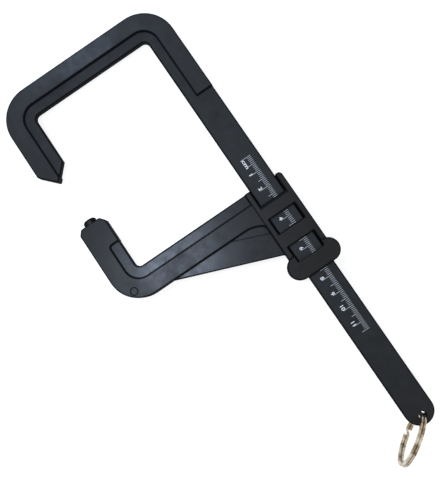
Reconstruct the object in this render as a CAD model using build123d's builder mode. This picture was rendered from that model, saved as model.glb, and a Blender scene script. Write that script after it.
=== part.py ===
from build123d import *
from math import cos, radians, sin, sqrt
import os

# An insulating glass caliper: a moulded beam with a fixed jaw, a moulded slider with a
# moving jaw, a printed scale and a split ring. All sizes are in millimetres.
# The origin is on the beam's back face, at the scale's zero, on the beam's centre line.
# +X runs along the beam to the ring, the jaws reach to -Y, and +Z leaves the scale face.

os.makedirs("parts", exist_ok=True)

# Sections of the beam and of both jaws
beam_width = 16.6
beam_thickness = 5.0
band_width = 17.1
spine_width = 10.6
spine_proud = 1.5
bend_inner_radius = 3.2
flange_edge_radius = 1.1
spine_edge_chamfer = 0.6

# Fixed jaw and beam
fixed_tip_before_zero = 48.9
fixed_leg_length = 39.7
fixed_throat_depth = 77.6
wedge_length = 8.7
wedge_tip_drop = 8.6
wedge_tip_radius = 0.9
wedge_corner_rounded_off = 0.4
spine_run_on_beam = 43.7
beam_past_zero = 174.2
hole_from_end = 5.2
hole_radius = 2.1
hole_chamfer = 0.3

# Printed scale
scale_length = 115
division = 1.0
tick_width = 0.2
print_thickness = 0.06
scale_line_y = 3.3
unit_tick_length = 2.5
half_tick_length = 4.5
long_tick_length = 6.6

# Slider and moving jaw
gap_at_rest = 27.2
slide_clearance = 0.25
rail_width = 3.45
sleeve_proud = 2.0
bridge_overlap = 1.0
moving_leg_reach = 38.65
moving_throat_depth = 75.6
moving_bend_outer_radius = 18.2
moving_step_bend_radius = 9.0
index_bridge_length = 8.9
index_bevel_length = 2.4
index_edge_height = 0.5
first_window_length = 9.6
middle_bridge_length = 8.8
second_window_length = 9.9
thumb_bridge_length = 10.0
thumb_radius = 6.7
thumb_low_radius = 7.15
thumb_low_shift = 0.45
thumb_top = 15.8
thumb_bottom = 16.25
thumb_proud = 0.8
thumb_edge_chamfer = 0.7
sleeve_corner_radius = 2.2
head_length = 17.0
head_bevel_length = 3.0
head_bevel_height = 2.4
head_corner_radius = 1.5
pocket_corner_radius = 1.7
nub_radius = 3.9
nub_length = 2.95
nub_edge_radius = 1.6
gusset_width = 22.9
gusset_drop = 59.4
gusset_thickness = 3.0
gusset_fillet = 1.6
gusset_edge_radius = 0.7
spine_flare_width = 3.2
spine_flare_height = 7.6
spine_flare_low_radius = 15.0
spine_flare_top_radius = 4.0
pad_width = 8.4
pad_drop = 21.0
pad_middle_width = 5.3
pad_middle_drop = 7.7
pad_proud = 0.4
ejector_radius = 1.9
ejector_depth = 0.15
ejector_from_outer_x = 7.2
ejector_from_outer_y = 8.5

# Split ring
ring_outer_diameter = 31.0
wire_radial = 2.0
wire_axial = 1.52
coil_gap = 0.12
wire_corner_chamfer = 0.4
ring_heading = -56.5
ring_clearance = 0.3
ring_split_angle = -79.0
ring_jog_angle = 13.0
jog_sections = 6

# Places worked out from the sizes above
half_beam = beam_width / 2
bend_outer_radius = bend_inner_radius + band_width
step_bend_radius = bend_outer_radius - spine_width
spine_back = -spine_proud
spine_height = beam_thickness + 2 * spine_proud
spine_front = spine_back + spine_height
sleeve_back = -sleeve_proud
sleeve_height = beam_thickness + 2 * sleeve_proud
sleeve_front = sleeve_back + sleeve_height

fixed_tip_x = -fixed_tip_before_zero
fixed_arm_inner_x = fixed_tip_x - fixed_leg_length
fixed_arm_outer_x = fixed_arm_inner_x - band_width
fixed_leg_inner_y = -half_beam - fixed_throat_depth
fixed_leg_outer_y = fixed_leg_inner_y - band_width
wedge_tip_y = fixed_leg_inner_y - wedge_tip_drop
wedge_start_x = fixed_tip_x - wedge_length
wedge_corner_x = fixed_tip_x + wedge_corner_rounded_off
spine_end_x = fixed_arm_inner_x + spine_run_on_beam
beam_arc_x = beam_past_zero - half_beam
hole_x = beam_past_zero - hole_from_end

moving_tip_x = fixed_tip_x + gap_at_rest
moving_arm_inner_x = moving_tip_x + moving_leg_reach
moving_arm_outer_x = moving_arm_inner_x + band_width
moving_step_x = moving_arm_outer_x - spine_width
moving_leg_inner_y = -half_beam - moving_throat_depth
moving_leg_outer_y = moving_leg_inner_y - band_width
moving_leg_middle_y = moving_leg_inner_y - band_width / 2
moving_step_y = moving_leg_outer_y + spine_width
flare_top_x = moving_arm_outer_x + spine_flare_width
flare_end_x = flare_top_x + 2 * spine_flare_top_radius
head_face_x = moving_tip_x + nub_length
pocket_start_x = head_face_x + head_length

channel_half = half_beam + slide_clearance
sleeve_half = channel_half + rail_width
sleeve_start_x = moving_arm_inner_x
index_x = gap_at_rest
first_window_x = index_x + index_bridge_length
middle_bridge_x = first_window_x + first_window_length
second_window_x = middle_bridge_x + middle_bridge_length
thumb_bridge_x = second_window_x + second_window_length
sleeve_end_x = thumb_bridge_x + thumb_bridge_length
thumb_x = sleeve_end_x - thumb_radius
bridge_front_z = beam_thickness + slide_clearance
bridge_back_z = -slide_clearance
gusset_back_z = (beam_thickness - gusset_thickness) / 2
back_bridges = [
    (sleeve_start_x, index_x),
    (first_window_x, middle_bridge_x),
    (second_window_x, thumb_bridge_x),
]


# Beam with fixed jaw: outline of the whole moulding, seen from the front
with BuildSketch() as fixed_outline:
    with BuildLine():
        Polyline(
            (beam_arc_x, half_beam),
            (fixed_arm_outer_x, half_beam),
            (fixed_arm_outer_x, fixed_leg_outer_y),
            (wedge_start_x, fixed_leg_outer_y),
            (wedge_corner_x, wedge_tip_y),
            (wedge_start_x, fixed_leg_inner_y),
            (fixed_arm_inner_x, fixed_leg_inner_y),
            (fixed_arm_inner_x, -half_beam),
            (beam_arc_x, -half_beam),
        )
        ThreePointArc((beam_arc_x, -half_beam), (beam_past_zero, 0), (beam_arc_x, half_beam))
    make_face()
    for outer_y, inner_y in ((half_beam, -half_beam), (fixed_leg_outer_y, fixed_leg_inner_y)):
        fillet(vertices().sort_by_distance((fixed_arm_outer_x, outer_y))[0], bend_outer_radius)
        fillet(vertices().sort_by_distance((fixed_arm_inner_x, inner_y))[0], bend_inner_radius)
    fillet(vertices().sort_by_distance((wedge_corner_x, wedge_tip_y))[0], wedge_tip_radius)

# The raised spine follows the outer edge and leaves a recessed flange inside it
with BuildSketch() as fixed_spine:
    add(fixed_outline.sketch)
    recess_right_x = beam_past_zero + band_width
    recess_left_x = fixed_arm_outer_x + spine_width
    recess_top_y = half_beam - spine_width
    recess_bottom_y = fixed_leg_outer_y + spine_width
    with BuildSketch(mode=Mode.PRIVATE) as fixed_recess:
        with Locations(((recess_left_x + recess_right_x) / 2, (recess_top_y + recess_bottom_y) / 2)):
            Rectangle(recess_right_x - recess_left_x, recess_top_y - recess_bottom_y)
        fillet(vertices().group_by(Axis.X)[0], step_bend_radius)
    add(fixed_recess.sketch, mode=Mode.SUBTRACT)
    with Locations(((spine_end_x + recess_right_x) / 2, 0)):
        Rectangle(recess_right_x - spine_end_x, 2 * band_width, mode=Mode.SUBTRACT)

with BuildPart() as beam_with_fixed_jaw:
    add(fixed_outline.sketch)
    extrude(amount=beam_thickness)
    fillet(edges().group_by(Axis.Z)[-1] + edges().group_by(Axis.Z)[0], flange_edge_radius)
    with BuildSketch(Plane.XY.offset(spine_back)):
        add(fixed_spine.sketch)
    extrude(amount=spine_height)
    chamfer(edges().group_by(Axis.Z)[-1] + edges().group_by(Axis.Z)[0], spine_edge_chamfer)
    with Locations(Plane.XY.offset(beam_thickness)):
        with Locations((hole_x, 0)):
            Hole(hole_radius)
    rims = edges().filter_by(GeomType.CIRCLE)
    chamfer(rims.filter_by(lambda rim: abs(rim.radius - hole_radius) < hole_chamfer / 10), hole_chamfer)

beam_with_fixed_jaw.part.label = "beam_with_fixed_jaw"
export_step(beam_with_fixed_jaw.part, "parts/beam_with_fixed_jaw.step")


# Printed scale: one thin mark for each division, longer at every fifth and tenth
division_count = round(scale_length / division)


def tick_length(number):
    if number % 10 == 0:
        return long_tick_length
    if number % 5 == 0:
        return half_tick_length
    return unit_tick_length


with BuildPart() as scale_graduations:
    with BuildSketch(Plane.XY.offset(beam_thickness)):
        for number in range(division_count + 1):
            length = tick_length(number)
            with Locations((number * division, scale_line_y - length / 2)):
                Rectangle(tick_width, length)
    extrude(amount=print_thickness)

scale_graduations.part.label = "scale_graduations"
export_step(scale_graduations.part, "parts/scale_graduations.step")


# Slider with moving jaw: the arm and leg, seen from the front
with BuildSketch() as moving_outline:
    with BuildLine():
        Polyline(
            (moving_arm_inner_x, -channel_half),
            (moving_arm_outer_x, -channel_half),
            (moving_arm_outer_x, moving_leg_outer_y),
            (head_face_x + head_bevel_length, moving_leg_outer_y),
            (head_face_x, moving_leg_outer_y + head_bevel_height),
            (head_face_x, moving_leg_inner_y - head_bevel_height),
            (head_face_x + head_bevel_length, moving_leg_inner_y),
            (moving_arm_inner_x, moving_leg_inner_y),
            close=True,
        )
    make_face()
    fillet(vertices().sort_by_distance((moving_arm_outer_x, moving_leg_outer_y))[0], moving_bend_outer_radius)
    fillet(vertices().sort_by_distance((moving_arm_inner_x, moving_leg_inner_y))[0], bend_inner_radius)
    for bevel_y, face_y in (
        (moving_leg_outer_y, moving_leg_outer_y + head_bevel_height),
        (moving_leg_inner_y, moving_leg_inner_y - head_bevel_height),
    ):
        fillet(vertices().sort_by_distance((head_face_x + head_bevel_length, bevel_y))[0], head_corner_radius)
        fillet(vertices().sort_by_distance((head_face_x, face_y))[0], head_corner_radius)

# The flange lies inside the bend and ends in a rounded pocket behind the head
with BuildSketch() as moving_recess:
    with BuildLine():
        Polyline(
            (moving_arm_inner_x - band_width, -sleeve_half),
            (moving_step_x, -sleeve_half),
            (moving_step_x, moving_step_y),
            (pocket_start_x, moving_step_y),
            (pocket_start_x, moving_leg_inner_y + band_width),
            (moving_arm_inner_x - band_width, moving_leg_inner_y + band_width),
            close=True,
        )
    make_face()
    fillet(vertices().sort_by_distance((moving_step_x, moving_step_y))[0], moving_step_bend_radius)
    fillet(vertices().sort_by_distance((pocket_start_x, moving_step_y))[0], pocket_corner_radius)

# The gusset web stiffens the arm against the sleeve
with BuildSketch() as gusset_outline:
    with BuildLine():
        Polyline(
            (moving_arm_outer_x - spine_width / 2, -channel_half),
            (thumb_x, -channel_half),
            (thumb_x, -sleeve_half),
            (moving_arm_outer_x + gusset_width, -sleeve_half),
            (moving_arm_outer_x, -sleeve_half - gusset_drop),
            (moving_arm_outer_x - spine_width / 2, -sleeve_half - gusset_drop),
            close=True,
        )
    make_face()
    fillet(vertices().sort_by_distance((moving_arm_outer_x + gusset_width, -sleeve_half))[0], gusset_fillet)

# Outline of the raised spine and head, with the flare below the lower rail
with BuildSketch() as moving_spine:
    add(moving_outline.sketch)
    add(moving_recess.sketch, mode=Mode.SUBTRACT)
    with BuildLine():
        Polyline(
            (moving_step_x, -channel_half),
            (flare_end_x, -channel_half),
            (flare_end_x, -sleeve_half),
            (flare_top_x, -sleeve_half),
            (moving_arm_outer_x, -sleeve_half - spine_flare_height),
            (moving_step_x, -sleeve_half - spine_flare_height),
            close=True,
        )
    make_face()
    flare_foot_y = -sleeve_half - spine_flare_height
    fillet(vertices().sort_by_distance((moving_arm_outer_x, flare_foot_y))[0], spine_flare_low_radius)
    fillet(vertices().sort_by_distance((flare_top_x, -sleeve_half))[0], spine_flare_top_radius)

# Outline of the two rails beside the beam
with BuildSketch() as sleeve_outline:
    with Locations(((sleeve_start_x + thumb_x) / 2, 0)):
        Rectangle(thumb_x - sleeve_start_x, 2 * sleeve_half)
    fillet(vertices().sort_by_distance((sleeve_start_x, sleeve_half))[0], sleeve_corner_radius)
    with Locations(((sleeve_start_x + sleeve_end_x) / 2, 0)):
        Rectangle(sleeve_end_x - sleeve_start_x + 2 * thumb_radius, 2 * channel_half, mode=Mode.SUBTRACT)

# A low pad thickens the web beside the flare
with BuildSketch() as pad_outline:
    with BuildLine():
        Polyline(
            (moving_arm_outer_x + pad_width, -sleeve_half),
            (moving_arm_outer_x + pad_width, -channel_half),
            (moving_arm_outer_x - spine_width / 2, -channel_half),
            (moving_arm_outer_x - spine_width / 2, -sleeve_half - pad_drop),
            (moving_arm_outer_x, -sleeve_half - pad_drop),
        )
        ThreePointArc(
            (moving_arm_outer_x, -sleeve_half - pad_drop),
            (moving_arm_outer_x + pad_middle_width, -sleeve_half - pad_middle_drop),
            (moving_arm_outer_x + pad_width, -sleeve_half),
        )
    make_face()

# Thumb flange across the end of the sleeve, round at both ends and fuller at the lower one
with BuildSketch() as thumb_outline:
    with Locations((thumb_x, thumb_top - thumb_radius)):
        Circle(thumb_radius)
    with Locations((thumb_x - thumb_low_shift, thumb_low_radius - thumb_bottom)):
        Circle(thumb_low_radius)
    make_hull()


# Flange of the arm and leg, in line with the beam
with BuildPart() as arm_flange:
    add(moving_outline.sketch)
    extrude(amount=beam_thickness)
    fillet(edges().group_by(Axis.Z)[-1] + edges().group_by(Axis.Z)[0], flange_edge_radius)

with BuildPart() as gusset_web:
    with BuildSketch(Plane.XY.offset(gusset_back_z)):
        add(gusset_outline.sketch)
    extrude(amount=gusset_thickness)
    fillet(edges().group_by(Axis.Z)[-1] + edges().group_by(Axis.Z)[0], gusset_edge_radius)

with BuildPart() as web_pad:
    with BuildSketch(Plane.XY.offset(gusset_back_z - pad_proud)):
        add(pad_outline.sketch)
    extrude(amount=gusset_thickness + 2 * pad_proud)

with BuildPart() as arm_spine:
    with BuildSketch(Plane.XY.offset(spine_back)):
        add(moving_spine.sketch)
    extrude(amount=spine_height)
    chamfer(edges().group_by(Axis.Z)[-1] + edges().group_by(Axis.Z)[0], spine_edge_chamfer)

# Rails, and the bridges that pass before and behind the beam in turn
with BuildPart() as sleeve_frame:
    with BuildSketch(Plane.XY.offset(sleeve_back)):
        add(sleeve_outline.sketch)
    extrude(amount=sleeve_height)
    with BuildSketch(Plane.XZ.offset(-channel_half - bridge_overlap)):
        with BuildLine():
            Polyline(
                (index_x, bridge_front_z),
                (first_window_x, bridge_front_z),
                (first_window_x, sleeve_front),
                (index_x + index_bevel_length, sleeve_front),
                (index_x, bridge_front_z + index_edge_height),
                close=True,
            )
        make_face()
        with Locations(((middle_bridge_x + second_window_x) / 2, (bridge_front_z + sleeve_front) / 2)):
            Rectangle(middle_bridge_length, sleeve_front - bridge_front_z)
        for start_x, end_x in back_bridges:
            with Locations(((start_x + end_x) / 2, (sleeve_back + bridge_back_z) / 2)):
                Rectangle(end_x - start_x, bridge_back_z - sleeve_back)
    extrude(amount=2 * (channel_half + bridge_overlap))
    chamfer(edges().group_by(Axis.Z)[-1] + edges().group_by(Axis.Z)[0], spine_edge_chamfer)

# Thumb flange: a round-ended plate with the beam's channel behind its bridge
with BuildPart() as thumb_flange:
    with BuildSketch(Plane.XY.offset(sleeve_back - thumb_proud)):
        add(thumb_outline.sketch)
    extrude(amount=sleeve_height + 2 * thumb_proud)
    chamfer(edges().group_by(Axis.Z)[-1] + edges().group_by(Axis.Z)[0], thumb_edge_chamfer)
    with BuildSketch(Plane.YZ.offset(thumb_x - 2 * thumb_radius)):
        with Locations((0, bridge_front_z - beam_width / 2)):
            Rectangle(2 * channel_half, beam_width)
    extrude(amount=4 * thumb_radius, mode=Mode.SUBTRACT)
    with BuildSketch(Plane.XY.offset(bridge_front_z)):
        with Locations((thumb_bridge_x - thumb_radius, 0)):
            Rectangle(2 * thumb_radius, 2 * channel_half)
    extrude(amount=band_width, mode=Mode.SUBTRACT)

# Contact nub on the head, facing the fixed jaw's tip
with BuildPart() as contact_nub:
    with BuildSketch(Plane.YZ.offset(moving_tip_x)):
        with Locations((moving_leg_middle_y, beam_thickness / 2)):
            Circle(nub_radius)
    extrude(amount=nub_length + head_bevel_length)
    fillet(edges().group_by(Axis.X)[0], nub_edge_radius)

with BuildPart() as slider_with_moving_jaw:
    add(arm_flange.part)
    add(gusset_web.part)
    add(web_pad.part)
    add(arm_spine.part)
    add(sleeve_frame.part)
    add(thumb_flange.part)
    add(contact_nub.part)
    with BuildSketch(Plane.XY.offset(spine_front)):
        with Locations((moving_arm_outer_x - ejector_from_outer_x, moving_leg_outer_y + ejector_from_outer_y)):
            Circle(ejector_radius)
    extrude(amount=-ejector_depth, mode=Mode.SUBTRACT)

slider_with_moving_jaw.part.label = "slider_with_moving_jaw"
export_step(slider_with_moving_jaw.part, "parts/slider_with_moving_jaw.step")


# Split ring: two turns of flattened wire, wound about +Z, joined by a short crossover
coil_radius = (ring_outer_diameter - wire_radial) / 2
coil_height = (wire_axial + coil_gap) / 2
jog_start = ring_split_angle - ring_jog_angle
jog_end = ring_split_angle


def radial_plane(angle, height):
    turn = radians(angle)
    return Plane(
        origin=(coil_radius * cos(turn), coil_radius * sin(turn), height),
        x_dir=(cos(turn), sin(turn), 0),
        z_dir=(-sin(turn), cos(turn), 0),
    )


def crossover_height(step):
    return coil_height * cos(radians(180 * step / jog_sections))


with BuildSketch() as wire_section:
    Rectangle(wire_radial, wire_axial)
    chamfer(vertices(), wire_corner_chamfer)

with BuildPart() as wound_wire:
    for layer in (coil_height, -coil_height):
        with BuildSketch(radial_plane(jog_end, layer)):
            add(wire_section.sketch)
        revolve(axis=Axis.Z, revolution_arc=360 - ring_jog_angle)
    for step in range(jog_sections + 1):
        angle = jog_start + ring_jog_angle * step / jog_sections
        with BuildSketch(radial_plane(angle, crossover_height(step))):
            add(wire_section.sketch)
    loft()

# The wire's outer corners lie near the hole's wall and the ring stands square to the beam's faces
corner_side = coil_gap / 2 + wire_axial - wire_corner_chamfer
wire_seat = sqrt((hole_radius - ring_clearance) ** 2 - corner_side**2) - wire_radial / 2
ring_reach = coil_radius - wire_seat
heading = radians(ring_heading)
ring_plane = Plane(
    origin=(hole_x + ring_reach * cos(heading), ring_reach * sin(heading), beam_thickness / 2),
    x_dir=(-cos(heading), -sin(heading), 0),
    z_dir=(-sin(heading), cos(heading), 0),
)

with BuildPart() as split_ring:
    with Locations(ring_plane.location):
        add(wound_wire.part)

split_ring.part.label = "split_ring"
export_step(split_ring.part, "parts/split_ring.step")
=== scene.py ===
"""Looks of the insulating glass caliper: moulded black plastic, white printed scale and a split ring."""

import math

import bpy
from mathutils import Matrix, Vector


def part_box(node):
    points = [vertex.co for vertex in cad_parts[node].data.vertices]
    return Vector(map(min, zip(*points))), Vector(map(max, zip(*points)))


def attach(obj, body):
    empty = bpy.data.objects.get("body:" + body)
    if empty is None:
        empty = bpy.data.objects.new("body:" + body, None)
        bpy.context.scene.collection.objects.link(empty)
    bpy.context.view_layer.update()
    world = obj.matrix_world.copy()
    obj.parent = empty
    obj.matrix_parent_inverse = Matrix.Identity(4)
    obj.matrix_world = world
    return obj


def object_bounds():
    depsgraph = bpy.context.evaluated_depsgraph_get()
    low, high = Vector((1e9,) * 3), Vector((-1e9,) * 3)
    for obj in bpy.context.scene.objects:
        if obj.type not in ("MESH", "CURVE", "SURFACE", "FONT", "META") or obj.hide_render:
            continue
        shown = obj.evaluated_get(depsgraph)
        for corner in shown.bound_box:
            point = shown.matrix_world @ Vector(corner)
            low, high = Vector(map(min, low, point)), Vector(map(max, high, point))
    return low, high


MM = 0.001

# Camera: the point it looks at on the scale face, its distance and its three turns
LOOK_AT = Vector((30.12, -37.27, 5.0)) * MM
CAMERA_DISTANCE = 400 * MM
VIEW_TILT_Y = math.radians(5.588)
VIEW_TILT_X = math.radians(0.994)
VIEW_ROLL = math.radians(55.78)
PHOTO_HEIGHT_PX = 481
FOCAL_LENGTH_PX = 721.455
SENSOR_SIZE = 36.0
CLIP_START, CLIP_END = 0.01, 20

# Lamps: name, place, aim, size, power and colour
LAMPS = (
    ("key", (-0.008, -0.091, 0.304), (0.028, -0.065, 0.005), 0.06, 0.352, (0.65, 0.77, 1.0)),
    ("side", (-0.263, -0.064, 0.403), (-0.097, -0.047, 0.005), 0.12, 0.36, (0.55, 0.72, 1.0)),
)

# Floor and world
FLOOR_HALF_SIZE = 2.5
FLOOR_BELOW_PART = 0.5 * MM
FLOOR_COLOR = (0.6, 0.6, 0.6)
FLOOR_GLOW = 0.8
AMBIENT_COLOR = (0.9, 0.95, 1.0)
AMBIENT_STRENGTH = 0.45
WHITE = (1.0, 1.0, 1.0)
BLACK = (0.0, 0.0, 0.0)

# Printed scale
NUMERAL_COUNT = 11
NUMERAL_PITCH = 10 * MM
NUMERAL_HEIGHT = 2.2 * MM
NUMERAL_TOP_Y = -1.5 * MM
NUMERAL_TICK_GAP = 0.2 * MM
NUMERAL_STRETCH = 1.15
UNIT_LABEL_HEIGHT = 1.55 * MM
UNIT_LABEL_TOP_Y = -1.3 * MM
UNIT_LABEL_RIGHT_X = 5.6 * MM
UNIT_LABEL_STRETCH = 1.55
PRINT_THICKNESS = 0.06 * MM
TEXT_BOLDNESS = 0.025

# Ink: its thin and its full colour, on the lines and on the numerals
LINE_INK = ((0.58, 0.59, 0.6), (0.84, 0.85, 0.85))
NUMERAL_INK = ((0.86, 0.87, 0.87), (0.98, 0.98, 0.98))
INK_ROUGHNESS = 0.55

# Painted shade: a dull dark ring that stands for the shaded rim of the shallow recess that the mould's
# ejector pin left on the moving jaw's bend
EJECTOR_MARK_AT = Vector((26.85, -92.5)) * MM
EJECTOR_MARK_RADIUS = 2.5 * MM
EJECTOR_MARK_WIDTH = 0.6 * MM
EJECTOR_MARK_HEIGHT = 0.03 * MM
EJECTOR_MARK_SEGMENTS = 48
EJECTOR_MARK_ROUGHNESS = 0.8
EJECTOR_MARK_SPECULAR = 0.2

# Moulded plastic: the walls, and a narrow rim along each edge, get a painted shade, blacker than the faces,
# and are duller than the faces
FACE_DARK = (0.004, 0.005, 0.006)
FACE_PALE = (0.013, 0.015, 0.017)
WALL_PAINTED_SHADE = (0.003, 0.003, 0.004)
FACE_SPECULAR, WALL_SPECULAR = 0.24, 0.08
WALL_ROUGHNESS = 0.75
GLOSS_SWING = 0.075
EDGE_RADIUS = 1.3 * MM
EDGE_SAMPLES = 8
# Upright part of a face's normal, from where it counts as a wall to where it counts as a level face
WALL_UPRIGHT, LEVEL_UPRIGHT = 0.85, 0.995
# The flange lies below the first of these distances from the middle plane, the spine above the second
MID_PLANE_Z = 2.5 * MM
FLANGE_TOP, SPINE_FOOT = 2.8 * MM, 3.8 * MM
GRAIN_DEPTH, GRAIN_STRENGTH = 0.02 * MM, 0.25
PIT_DEPTH, PIT_STRENGTH = 0.03 * MM, 0.2

# Plated wire
PLATING_WARM = (0.29, 0.22, 0.14)
PLATING_BRIGHT = (0.62, 0.57, 0.46)
TARNISH = (0.07, 0.05, 0.02)
TARNISH_COVER = 0.85
WIRE_GLOSSIEST, WIRE_DULLEST = 0.14, 0.3
SCRATCH_DEPTH, SCRATCH_STRENGTH = 0.02 * MM, 0.2

# Noises: scale, detail and roughness
MOTTLE_NOISE = (160, 4.0, 0.6)
FLOW_NOISE = (90, 4.0, 0.65)
GRAIN_NOISE = (5200, 2.0, 0.5)
PIT_NOISE = (900, 3.0, 0.5)
INK_NOISE = (1400, 3.0, 0.6)
TINGE_NOISE = (240, 2.0, 0.5)
TARNISH_NOISE = (210, 2.0, 0.5)
SCRATCH_NOISE = (2600, 2.0, 0.5)
# The part of a noise's range that is spread over an effect's range
NOISE_SPAN = (0.3, 0.7)
TINGE_SPAN = (0.38, 0.62)
TARNISH_SPAN = (0.56, 0.68)

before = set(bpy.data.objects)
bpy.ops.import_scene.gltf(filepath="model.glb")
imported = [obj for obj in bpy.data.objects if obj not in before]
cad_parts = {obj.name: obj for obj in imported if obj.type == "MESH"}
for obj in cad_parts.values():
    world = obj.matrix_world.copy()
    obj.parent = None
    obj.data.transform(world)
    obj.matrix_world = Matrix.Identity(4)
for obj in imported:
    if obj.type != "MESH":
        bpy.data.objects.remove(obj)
cad_low, cad_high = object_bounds()
scale_face_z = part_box("scale_graduations")[0].z


def shader(name):
    """A new node material with an empty tree: its nodes, its links and its output node."""
    material = bpy.data.materials.new(name)
    material.use_nodes = True
    nodes = material.node_tree.nodes
    nodes.clear()
    return material, nodes, material.node_tree.links, nodes.new("ShaderNodeOutputMaterial")


def object_place(nodes):
    return nodes.new("ShaderNodeTexCoord").outputs["Object"]


def noise(nodes, links, place, kind):
    texture = nodes.new("ShaderNodeTexNoise")
    scale, detail, roughness = kind
    texture.inputs["Scale"].default_value = scale
    texture.inputs["Detail"].default_value = detail
    texture.inputs["Roughness"].default_value = roughness
    links.new(place, texture.inputs["Vector"])
    return texture.outputs["Fac"]


def remap(nodes, links, value, span, to_low=0.0, to_high=1.0):
    node = nodes.new("ShaderNodeMapRange")
    node.inputs["From Min"].default_value, node.inputs["From Max"].default_value = span
    node.inputs["To Min"].default_value = to_low
    node.inputs["To Max"].default_value = to_high
    links.new(value, node.inputs["Value"])
    return node.outputs["Result"]


def calculate(nodes, links, operation, *values):
    """A Math node over sockets and plain numbers."""
    node = nodes.new("ShaderNodeMath")
    node.operation = operation
    for socket, value in zip(node.inputs, values):
        if isinstance(value, float):
            socket.default_value = value
        else:
            links.new(value, socket)
    return node.outputs[0]


def mix_color(nodes, links, factor, first, second):
    node = nodes.new("ShaderNodeMix")
    node.data_type = "RGBA"
    links.new(factor, node.inputs["Factor"])
    for socket, color in ((node.inputs[6], first), (node.inputs[7], second)):
        if isinstance(color, tuple):
            socket.default_value = (*color, 1.0)
        else:
            links.new(color, socket)
    return node.outputs[2]


def bump(nodes, links, height, distance, strength, normal=None):
    node = nodes.new("ShaderNodeBump")
    node.inputs["Distance"].default_value = distance
    node.inputs["Strength"].default_value = strength
    links.new(height, node.inputs["Height"])
    if normal is not None:
        links.new(normal, node.inputs["Normal"])
    return node.outputs["Normal"]


def away_from(nodes, links, vector, middle):
    """How far a vector's Z lies from the given middle, above or below it."""
    parts = nodes.new("ShaderNodeSeparateXYZ")
    links.new(vector, parts.inputs[0])
    offset = calculate(nodes, links, "SUBTRACT", parts.outputs["Z"], middle)
    return calculate(nodes, links, "ABSOLUTE", offset)


def facing(nodes, links):
    """1 on faces that look straight up or down, 0 on the walls between them and along their edges."""
    rounded = nodes.new("ShaderNodeBevel")
    rounded.samples = EDGE_SAMPLES
    rounded.inputs["Radius"].default_value = EDGE_RADIUS
    upright = away_from(nodes, links, rounded.outputs["Normal"], 0.0)
    return remap(nodes, links, upright, (WALL_UPRIGHT, LEVEL_UPRIGHT))


def raised(nodes, links, place):
    """1 on the raised spine and rails, 0 on the recessed flange, alike on the front and the back."""
    return remap(nodes, links, away_from(nodes, links, place, MID_PLANE_Z), (FLANGE_TOP, SPINE_FOOT))


def moulded_plastic(name, flange_roughness, spine_roughness, spine_painted_shade):
    """Black injection-moulded plastic: fine grain, faint mottle and uneven gloss, matter on its walls;
    painted shade darkens its walls, its edge rims and, by the given share, its raised spine.
    """
    material, nodes, links, output = shader(name)
    place = object_place(nodes)
    spine = raised(nodes, links, place)
    level = facing(nodes, links)
    surface = nodes.new("ShaderNodeBsdfPrincipled")

    patches = remap(nodes, links, noise(nodes, links, place, MOTTLE_NOISE), NOISE_SPAN)
    face = mix_color(nodes, links, patches, FACE_DARK, FACE_PALE)
    # Painted shade: the raised spine's colour is darkened towards black by the given share, to dim its
    # highlight against the flange's
    painted_spine_shade = remap(nodes, links, spine, (0.0, 1.0), 0.0, spine_painted_shade)
    face_with_painted_shade = mix_color(nodes, links, painted_spine_shade, face, BLACK)
    # Painted shade: walls and a narrow rim along each edge take the near-black wall colour in place of the
    # face colour
    links.new(mix_color(nodes, links, level, WALL_PAINTED_SHADE, face_with_painted_shade), surface.inputs["Base Color"])

    gloss = remap(nodes, links, spine, (0.0, 1.0), flange_roughness, spine_roughness)
    flow = noise(nodes, links, place, FLOW_NOISE)
    swing = remap(nodes, links, flow, NOISE_SPAN, -GLOSS_SWING, GLOSS_SWING)
    walls = nodes.new("ShaderNodeMix")
    walls.inputs[2].default_value = WALL_ROUGHNESS
    links.new(level, walls.inputs[0])
    links.new(calculate(nodes, links, "ADD", gloss, swing), walls.inputs[3])
    links.new(walls.outputs[0], surface.inputs["Roughness"])
    shine = remap(nodes, links, level, (0.0, 1.0), WALL_SPECULAR, FACE_SPECULAR)
    links.new(shine, surface.inputs["Specular IOR Level"])

    fine = bump(nodes, links, noise(nodes, links, place, GRAIN_NOISE), GRAIN_DEPTH, GRAIN_STRENGTH)
    pits = bump(nodes, links, noise(nodes, links, place, PIT_NOISE), PIT_DEPTH, PIT_STRENGTH, fine)
    links.new(pits, surface.inputs["Normal"])
    links.new(surface.outputs["BSDF"], output.inputs["Surface"])
    return material


def dull_plastic(name):
    """Dull black plastic for the painted shade around the small recess that the mould left."""
    material, nodes, links, output = shader(name)
    surface = nodes.new("ShaderNodeBsdfPrincipled")
    surface.inputs["Base Color"].default_value = (*FACE_DARK, 1.0)
    surface.inputs["Roughness"].default_value = EJECTOR_MARK_ROUGHNESS
    surface.inputs["Specular IOR Level"].default_value = EJECTOR_MARK_SPECULAR
    links.new(surface.outputs["BSDF"], output.inputs["Surface"])
    return material


def scale_ink(name, thin, full):
    """White pad-printed ink, uneven between its thin and its full colour."""
    material, nodes, links, output = shader(name)
    cover = remap(nodes, links, noise(nodes, links, object_place(nodes), INK_NOISE), NOISE_SPAN)
    surface = nodes.new("ShaderNodeBsdfPrincipled")
    links.new(mix_color(nodes, links, cover, thin, full), surface.inputs["Base Color"])
    surface.inputs["Roughness"].default_value = INK_ROUGHNESS
    links.new(surface.outputs["BSDF"], output.inputs["Surface"])
    return material


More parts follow.
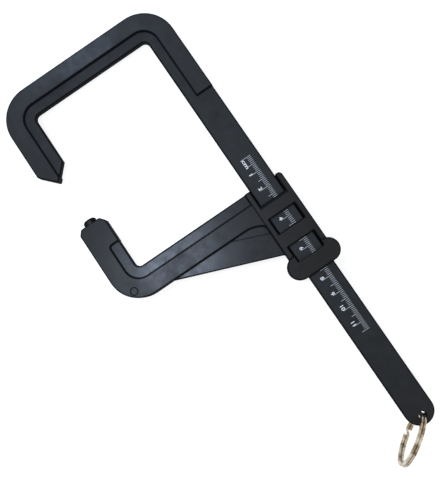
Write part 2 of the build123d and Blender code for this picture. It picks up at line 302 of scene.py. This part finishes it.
def plated_wire(name):
    """Nickel-plated spring wire: a warm tinge, tarnish in brown patches and fine drawing marks."""
    material, nodes, links, output = shader(name)
    place = object_place(nodes)
    surface = nodes.new("ShaderNodeBsdfPrincipled")

    tinge = remap(nodes, links, noise(nodes, links, place, TINGE_NOISE), TINGE_SPAN)
    plating = mix_color(nodes, links, tinge, PLATING_WARM, PLATING_BRIGHT)
    patches = noise(nodes, links, place, TARNISH_NOISE)
    cover = remap(nodes, links, patches, TARNISH_SPAN, 0.0, TARNISH_COVER)
    links.new(mix_color(nodes, links, cover, plating, TARNISH), surface.inputs["Base Color"])
    surface.inputs["Metallic"].default_value = 1.0

    scratches = noise(nodes, links, place, SCRATCH_NOISE)
    gloss = remap(nodes, links, scratches, NOISE_SPAN, WIRE_GLOSSIEST, WIRE_DULLEST)
    links.new(gloss, surface.inputs["Roughness"])
    marks = bump(nodes, links, scratches, SCRATCH_DEPTH, SCRATCH_STRENGTH)
    links.new(marks, surface.inputs["Normal"])
    links.new(surface.outputs["BSDF"], output.inputs["Surface"])
    return material


def dress(node, material):
    """Gives a CAD node its finish."""
    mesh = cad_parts[node].data
    mesh.materials.clear()
    mesh.materials.append(material)


def add_object(name, data):
    piece = bpy.data.objects.new(name, data)
    bpy.context.scene.collection.objects.link(piece)
    return piece


def printed_text(name, text, right_x, top_y, height, stretch, material):
    """Flat printed lettering on the beam's scale face, with its right edge and its top given."""
    curve = bpy.data.curves.new(name, "FONT")
    curve.body = text
    curve.extrude = PRINT_THICKNESS / 2
    curve.offset = TEXT_BOLDNESS
    holder = add_object(name + "_curve", curve)
    bpy.context.view_layer.update()
    mesh = bpy.data.meshes.new_from_object(holder.evaluated_get(bpy.context.evaluated_depsgraph_get()))
    bpy.data.objects.remove(holder)
    low = Vector([min(v.co[axis] for v in mesh.vertices) for axis in range(3)])
    high = Vector([max(v.co[axis] for v in mesh.vertices) for axis in range(3)])
    size = height / (high.y - low.y)
    fit = Matrix.Diagonal((stretch * size, size, 1, 1)) @ Matrix.Translation((-high.x, -high.y, -low.z))
    mesh.transform(Matrix.Translation((right_x, top_y, scale_face_z)) @ fit)
    mesh.materials.clear()
    mesh.materials.append(material)
    piece = add_object(name, mesh)
    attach(piece, "beam")


def ejector_mark(name, place, face_z, material):
    """A thin flat ring on the slider's face, around the ejector pin's recess, painted as the shade of the
    recess's rim.
    """
    inner = EJECTOR_MARK_RADIUS - EJECTOR_MARK_WIDTH
    circles = [(EJECTOR_MARK_RADIUS, 0), (EJECTOR_MARK_RADIUS, 1), (inner, 1), (inner, 0)]
    verts, faces = [], []
    for step in range(EJECTOR_MARK_SEGMENTS):
        angle = math.tau * step / EJECTOR_MARK_SEGMENTS
        for radius, level in circles:
            x = place.x + radius * math.cos(angle)
            y = place.y + radius * math.sin(angle)
            verts.append((x, y, face_z + level * EJECTOR_MARK_HEIGHT))
        here = len(circles) * step
        there = len(circles) * ((step + 1) % EJECTOR_MARK_SEGMENTS)
        for side in range(len(circles)):
            other = (side + 1) % len(circles)
            faces.append((here + side, there + side, there + other, here + other))
    mesh = bpy.data.meshes.new(name)
    mesh.from_pydata(verts, [], faces)
    mesh.materials.append(material)
    piece = add_object(name, mesh)
    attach(piece, "slider")


# Finishes of the CAD nodes. The plastics: roughness of the flange and of the spine, and the share of painted
# shade that darkens the spine
dress("beam_with_fixed_jaw", moulded_plastic("beam_plastic", 0.5, 0.36, 0.0))
dress("slider_with_moving_jaw", moulded_plastic("slider_plastic", 0.28, 0.34, 0.8))
dress("scale_graduations", scale_ink("line_ink", *LINE_INK))
dress("split_ring", plated_wire("ring_metal"))

# Numerals and the unit label of the printed scale
numeral_ink = scale_ink("numeral_ink", *NUMERAL_INK)
for number in range(1, NUMERAL_COUNT + 1):
    printed_text(
        f"numeral_{number}",
        str(number),
        number * NUMERAL_PITCH - NUMERAL_TICK_GAP,
        NUMERAL_TOP_Y,
        NUMERAL_HEIGHT,
        NUMERAL_STRETCH,
        numeral_ink,
    )
printed_text(
    "unit_label",
    "cm",
    UNIT_LABEL_RIGHT_X,
    UNIT_LABEL_TOP_Y,
    UNIT_LABEL_HEIGHT,
    UNIT_LABEL_STRETCH,
    numeral_ink,
)

# The slider's spine stands as high as the beam's, which is the top of the beam's node
spine_front_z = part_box("beam_with_fixed_jaw")[1].z
# Painted shade: a dark ring laid on the spine around the ejector pin's recess
ejector_mark("ejector_mark", EJECTOR_MARK_AT, spine_front_z, dull_plastic("ejector_rim_shade_plastic"))


def seen_by(nodes, links, *kinds):
    """1 for the named kinds of ray, 0 for the others."""
    rays = nodes.new("ShaderNodeLightPath")
    seen = rays.outputs[kinds[0]]
    for kind in kinds[1:]:
        seen = calculate(nodes, links, "MAXIMUM", seen, rays.outputs[kind])
    return seen


def make_floor():
    """Pale floor just under the lowest piece, near white to the camera but for the soft shadow."""
    material, nodes, links, output = shader("floor_white")
    seen = seen_by(nodes, links, "Is Camera Ray", "Is Glossy Ray")
    glow = nodes.new("ShaderNodeEmission")
    links.new(remap(nodes, links, seen, (0.0, 1.0), 0.0, FLOOR_GLOW), glow.inputs["Strength"])
    paper = nodes.new("ShaderNodeBsdfDiffuse")
    paper.inputs["Color"].default_value = (*FLOOR_COLOR, 1.0)
    both = nodes.new("ShaderNodeAddShader")
    links.new(paper.outputs[0], both.inputs[0])
    links.new(glow.outputs[0], both.inputs[1])
    links.new(both.outputs[0], output.inputs["Surface"])
    mesh = bpy.data.meshes.new("floor")
    corners = [(-1, -1), (1, -1), (1, 1), (-1, 1)]
    z = cad_low.z - FLOOR_BELOW_PART
    mesh.from_pydata([(FLOOR_HALF_SIZE * x, FLOOR_HALF_SIZE * y, z) for x, y in corners], [], [(0, 1, 2, 3)])
    mesh.materials.append(material)
    add_object("floor", mesh)


def make_world():
    """White behind the object for the camera, for gloss and for glass, and plain soft light for the rest."""
    world = bpy.data.worlds.new("studio")
    bpy.context.scene.world = world
    world.use_nodes = True
    nodes, links = world.node_tree.nodes, world.node_tree.links
    nodes.clear()
    output = nodes.new("ShaderNodeOutputWorld")
    mix = nodes.new("ShaderNodeMixShader")
    seen = seen_by(nodes, links, "Is Camera Ray", "Is Glossy Ray", "Is Transmission Ray")
    links.new(seen, mix.inputs[0])
    backgrounds = ((AMBIENT_COLOR, AMBIENT_STRENGTH), (WHITE, 1.0))
    for socket, (color, strength) in zip(mix.inputs[1:], backgrounds):
        background = nodes.new("ShaderNodeBackground")
        background.inputs["Color"].default_value = (*color, 1.0)
        background.inputs["Strength"].default_value = strength
        links.new(background.outputs[0], socket)
    links.new(mix.outputs[0], output.inputs["Surface"])


def area_lamp(name, place, aim, size, power, color):
    lamp = bpy.data.lights.new(name, "AREA")
    lamp.shape = "DISK"
    lamp.size = size
    lamp.energy = power
    lamp.color = color
    holder = add_object(name, lamp)
    holder.location = place
    holder.rotation_euler = (Vector(aim) - Vector(place)).to_track_quat("-Z", "Y").to_euler()


def make_camera():
    """The camera at the photo's viewing angle."""
    to_image = Matrix.Diagonal((1, -1, -1))
    turn = (
        Matrix.Rotation(VIEW_ROLL, 3, "Z")
        @ Matrix.Rotation(VIEW_TILT_X, 3, "X")
        @ Matrix.Rotation(VIEW_TILT_Y, 3, "Y")
        @ to_image
    )
    right, down, forward = turn
    camera = bpy.data.cameras.new("camera")
    camera.sensor_fit = "VERTICAL"
    camera.sensor_height = SENSOR_SIZE
    camera.lens = FOCAL_LENGTH_PX / PHOTO_HEIGHT_PX * SENSOR_SIZE
    camera.clip_start = CLIP_START
    camera.clip_end = CLIP_END
    holder = add_object("camera", camera)
    place = LOOK_AT - forward * CAMERA_DISTANCE
    axes = Matrix((right, -down, -forward)).transposed()
    holder.matrix_world = Matrix.Translation(place) @ axes.to_4x4()
    bpy.context.scene.camera = holder


make_floor()
make_world()
for lamp_settings in LAMPS:
    area_lamp(*lamp_settings)
make_camera()
bpy.context.scene.view_settings.view_transform = "Standard"
